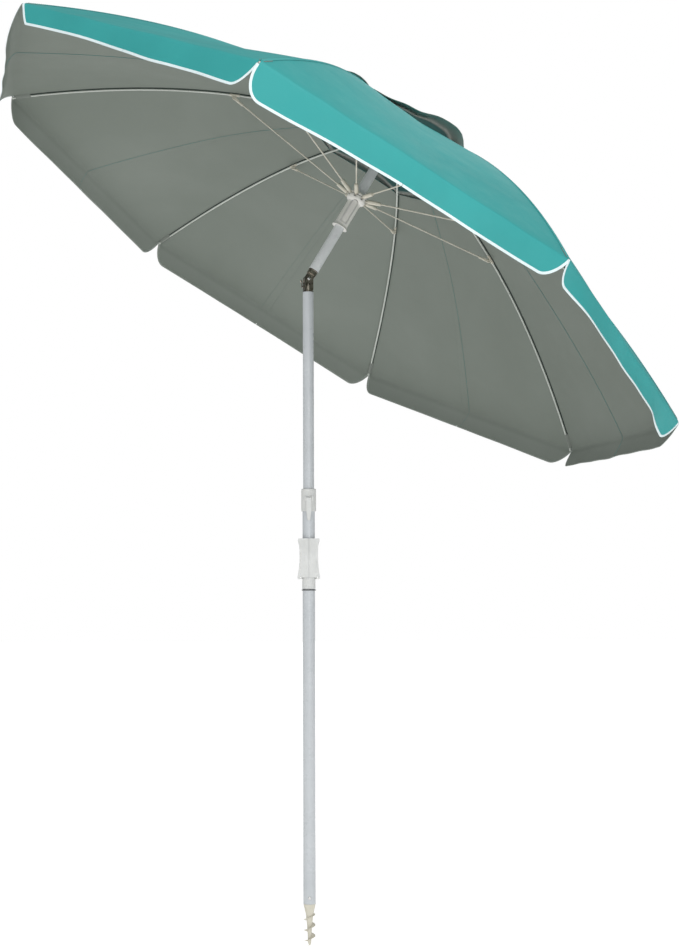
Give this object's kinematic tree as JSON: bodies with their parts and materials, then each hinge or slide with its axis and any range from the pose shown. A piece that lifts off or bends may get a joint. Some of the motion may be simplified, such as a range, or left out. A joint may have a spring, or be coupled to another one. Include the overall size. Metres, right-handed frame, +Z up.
{
  "type": "beach umbrella",
  "caption": "Tilting beach umbrella with curved ribs, a vented cloth canopy, telescoping pole with lock collar, sliding runner, folding wing handle and sand auger.",
  "frame": {"origin": "tip of the sand auger, on the pole's centre line", "axes": "+Z up along the pole; the tilted canopy leans towards +X; +Y completes the frame and is the axis of the tilt hinge"},
  "size_m": [1.663, 1.9032, 2.3031],
  "materials": {
    "white_tube": "white powder coat",
    "white_plastic": "smooth moulded",
    "cream_plastic": "smooth moulded, slightly yellowed",
    "dark_chrome": "plated",
    "steel": "bright",
    "canopy_cloth": "plain weave, grey coated inside",
    "white_rod": "painted"
  },
  "bodies": {
    "pole": {"lower_tube": "white_tube", "sand_auger": "cream_plastic", "auger_rivet": "steel", "lock_collar": "white_plastic", "lever_pin": "steel", "handle_sleeve": "white_plastic", "wing_pin_l": "steel", "wing_pin_r": "steel"},
    "height_lever": {"lock_lever": "white_plastic"},
    "left_wing": {"wing_l": "white_plastic"},
    "right_wing": {"wing_r": "white_plastic"},
    "mast": {"upper_tube": "white_tube", "knuckle_lower": "dark_chrome", "tilt_pin": "steel"},
    "tilt_release": {"tilt_button": "dark_chrome"},
    "head": {"canopy_shaft": "white_tube", "knuckle_upper": "dark_chrome", "top_notch": "white_plastic", "notch_wire": "steel", "finial": "white_plastic", "vent_cap": "canopy_cloth"},
    "runner": {"runner_body": "white_plastic", "runner_wire": "steel"},
    "catch": {"runner_catch": "white_plastic"},
    "rib_1_body": {"rib_1": "white_rod", "rib_clip_1": "cream_plastic", "gore_1": "canopy_cloth"},
    "stretcher_1_body": {"stretcher_1": "cream_plastic"},
    "rib_2_body": {"rib_2": "white_rod", "rib_clip_2": "cream_plastic", "gore_2": "canopy_cloth"},
    "stretcher_2_body": {"stretcher_2": "cream_plastic"},
    "rib_3_body": {"rib_3": "white_rod", "rib_clip_3": "cream_plastic", "gore_3": "canopy_cloth"},
    "stretcher_3_body": {"stretcher_3": "cream_plastic"},
    "rib_4_body": {"rib_4": "white_rod", "rib_clip_4": "cream_plastic", "gore_4": "canopy_cloth"},
    "stretcher_4_body": {"stretcher_4": "cream_plastic"},
    "rib_5_body": {"rib_5": "white_rod", "rib_clip_5": "cream_plastic", "gore_5": "canopy_cloth"},
    "stretcher_5_body": {"stretcher_5": "cream_plastic"},
    "rib_6_body": {"rib_6": "white_rod", "rib_clip_6": "cream_plastic", "gore_6": "canopy_cloth"},
    "stretcher_6_body": {"stretcher_6": "cream_plastic"},
    "rib_7_body": {"rib_7": "white_rod", "rib_clip_7": "cream_plastic", "gore_7": "canopy_cloth"},
    "stretcher_7_body": {"stretcher_7": "cream_plastic"},
    "rib_8_body": {"rib_8": "white_rod", "rib_clip_8": "cream_plastic", "gore_8": "canopy_cloth"},
    "stretcher_8_body": {"stretcher_8": "cream_plastic"}
  },
  "joints": [
    {"name": "height_slide", "type": "slide", "parent": "pole", "child": "mast", "axis": [0, 0, 1], "range_m": [-0.5, 0.12]},
    {"name": "height_lever_hinge", "type": "hinge", "parent": "pole", "child": "height_lever", "pos_m": [-0.00368, -0.02088, 1.1436], "axis": [-0.9848, 0.1736, 0], "range_deg": [0, 100]},
    {"name": "left_wing_hinge", "type": "hinge", "parent": "pole", "child": "left_wing", "pos_m": [-0.02216, 0.00391, 0.9402], "axis": [-0.1736, -0.9848, 0], "range_deg": [0, 90]},
    {"name": "right_wing_hinge", "type": "hinge", "parent": "pole", "child": "right_wing", "pos_m": [0.02216, -0.00391, 0.9402], "axis": [0.1736, 0.9848, 0], "range_deg": [0, 90]},
    {"name": "tilt_hinge", "type": "hinge", "parent": "mast", "child": "head", "pos_m": [0, 0, 1.725], "axis": [0, 1, 0], "range_deg": [-30.8, 0]},
    {"name": "tilt_release_slide", "type": "slide", "parent": "mast", "child": "tilt_release", "axis": [1, 0, 0], "range_m": [0, 0.0025], "stiffness_N_per_m": 400, "springref_m": -0.002},
    {"name": "runner_slide", "type": "slide", "parent": "head", "child": "runner", "axis": [0.512, 0, 0.859], "range_m": [-0.12, 0], "deforming": ["gore_1", "gore_2", "gore_3", "gore_4", "gore_5", "gore_6", "gore_7", "gore_8", "vent_cap"]},
    {"name": "runner_catch_hinge", "type": "hinge", "parent": "runner", "child": "catch", "pos_m": [0.09268, -0.0165, 1.88047], "axis": [0.859, 0, -0.512], "range_deg": [-1.2, 0], "stiffness_Nm_per_rad": 2, "springref_deg": 1.72},
    {"name": "rib_1_hinge", "type": "hinge", "parent": "head", "child": "rib_1_body", "pos_m": [0.24724, 0.00765, 2.10366], "axis": [-0.3287, 0.9239, 0.196], "range_deg": [0, 8.66]},
    {"name": "stretcher_1_hinge", "type": "hinge", "parent": "runner", "child": "stretcher_1_body", "pos_m": [0.1528, 0.00899, 1.93893], "axis": [-0.3287, 0.9239, 0.196], "range_deg": [-7.61, 0]},
    {"name": "rib_2_hinge", "type": "hinge", "parent": "head", "child": "rib_2_body", "pos_m": [0.23794, 0.01848, 2.1092], "axis": [-0.7936, 0.3827, 0.4731], "range_deg": [0, 8.66]},
    {"name": "stretcher_2_hinge", "type": "hinge", "parent": "runner", "child": "stretcher_2_body", "pos_m": [0.14188, 0.02171, 1.94544], "axis": [-0.7936, 0.3827, 0.4731], "range_deg": [-7.61, 0]},
    {"name": "rib_3_hinge", "type": "hinge", "parent": "head", "child": "rib_3_body", "pos_m": [0.22479, 0.01848, 2.11704], "axis": [-0.7936, -0.3827, 0.4731], "range_deg": [0, 8.66]},
    {"name": "stretcher_3_hinge", "type": "hinge", "parent": "runner", "child": "stretcher_3_body", "pos_m": [0.12643, 0.02171, 1.95465], "axis": [-0.7936, -0.3827, 0.4731], "range_deg": [-7.61, 0]},
    {"name": "rib_4_hinge", "type": "hinge", "parent": "head", "child": "rib_4_body", "pos_m": [0.21549, 0.00765, 2.12258], "axis": [-0.3287, -0.9239, 0.196], "range_deg": [0, 8.66]},
    {"name": "stretcher_4_hinge", "type": "hinge", "parent": "runner", "child": "stretcher_4_body", "pos_m": [0.11551, 0.00899, 1.96116], "axis": [-0.3287, -0.9239, 0.196], "range_deg": [-7.61, 0]},
    {"name": "rib_5_hinge", "type": "hinge", "parent": "head", "child": "rib_5_body", "pos_m": [0.21549, -0.00765, 2.12258], "axis": [0.3287, -0.9239, -0.196], "range_deg": [0, 8.66]},
    {"name": "stretcher_5_hinge", "type": "hinge", "parent": "runner", "child": "stretcher_5_body", "pos_m": [0.11551, -0.00899, 1.96116], "axis": [0.3287, -0.9239, -0.196], "range_deg": [-7.61, 0]},
    {"name": "rib_6_hinge", "type": "hinge", "parent": "head", "child": "rib_6_body", "pos_m": [0.22479, -0.01848, 2.11704], "axis": [0.7936, -0.3827, -0.4731], "range_deg": [0, 8.66]},
    {"name": "stretcher_6_hinge", "type": "hinge", "parent": "runner", "child": "stretcher_6_body", "pos_m": [0.12643, -0.02171, 1.95465], "axis": [0.7936, -0.3827, -0.4731], "range_deg": [-7.61, 0]},
    {"name": "rib_7_hinge", "type": "hinge", "parent": "head", "child": "rib_7_body", "pos_m": [0.23794, -0.01848, 2.1092], "axis": [0.7936, 0.3827, -0.4731], "range_deg": [0, 8.66]},
    {"name": "stretcher_7_hinge", "type": "hinge", "parent": "runner", "child": "stretcher_7_body", "pos_m": [0.14188, -0.02171, 1.94544], "axis": [0.7936, 0.3827, -0.4731], "range_deg": [-7.61, 0]},
    {"name": "rib_8_hinge", "type": "hinge", "parent": "head", "child": "rib_8_body", "pos_m": [0.24724, -0.00765, 2.10366], "axis": [0.3287, 0.9239, -0.196], "range_deg": [0, 8.66]},
    {"name": "stretcher_8_hinge", "type": "hinge", "parent": "runner", "child": "stretcher_8_body", "pos_m": [0.1528, -0.00899, 1.93893], "axis": [0.3287, 0.9239, -0.196], "range_deg": [-7.61, 0]}
  ],
  "couplings": [
    {"joint": "rib_1_hinge", "follows": "runner_slide", "rad_per_m": -1.2567},
    {"joint": "stretcher_1_hinge", "follows": "runner_slide", "rad_per_m": 1.104},
    {"joint": "rib_2_hinge", "follows": "runner_slide", "rad_per_m": -1.2567},
    {"joint": "stretcher_2_hinge", "follows": "runner_slide", "rad_per_m": 1.104},
    {"joint": "rib_3_hinge", "follows": "runner_slide", "rad_per_m": -1.2567},
    {"joint": "stretcher_3_hinge", "follows": "runner_slide", "rad_per_m": 1.104},
    {"joint": "rib_4_hinge", "follows": "runner_slide", "rad_per_m": -1.2567},
    {"joint": "stretcher_4_hinge", "follows": "runner_slide", "rad_per_m": 1.104},
    {"joint": "rib_5_hinge", "follows": "runner_slide", "rad_per_m": -1.2567},
    {"joint": "stretcher_5_hinge", "follows": "runner_slide", "rad_per_m": 1.104},
    {"joint": "rib_6_hinge", "follows": "runner_slide", "rad_per_m": -1.2567},
    {"joint": "stretcher_6_hinge", "follows": "runner_slide", "rad_per_m": 1.104},
    {"joint": "rib_7_hinge", "follows": "runner_slide", "rad_per_m": -1.2567},
    {"joint": "stretcher_7_hinge", "follows": "runner_slide", "rad_per_m": 1.104},
    {"joint": "rib_8_hinge", "follows": "runner_slide", "rad_per_m": -1.2567},
    {"joint": "stretcher_8_hinge", "follows": "runner_slide", "rad_per_m": 1.104}
  ]
}
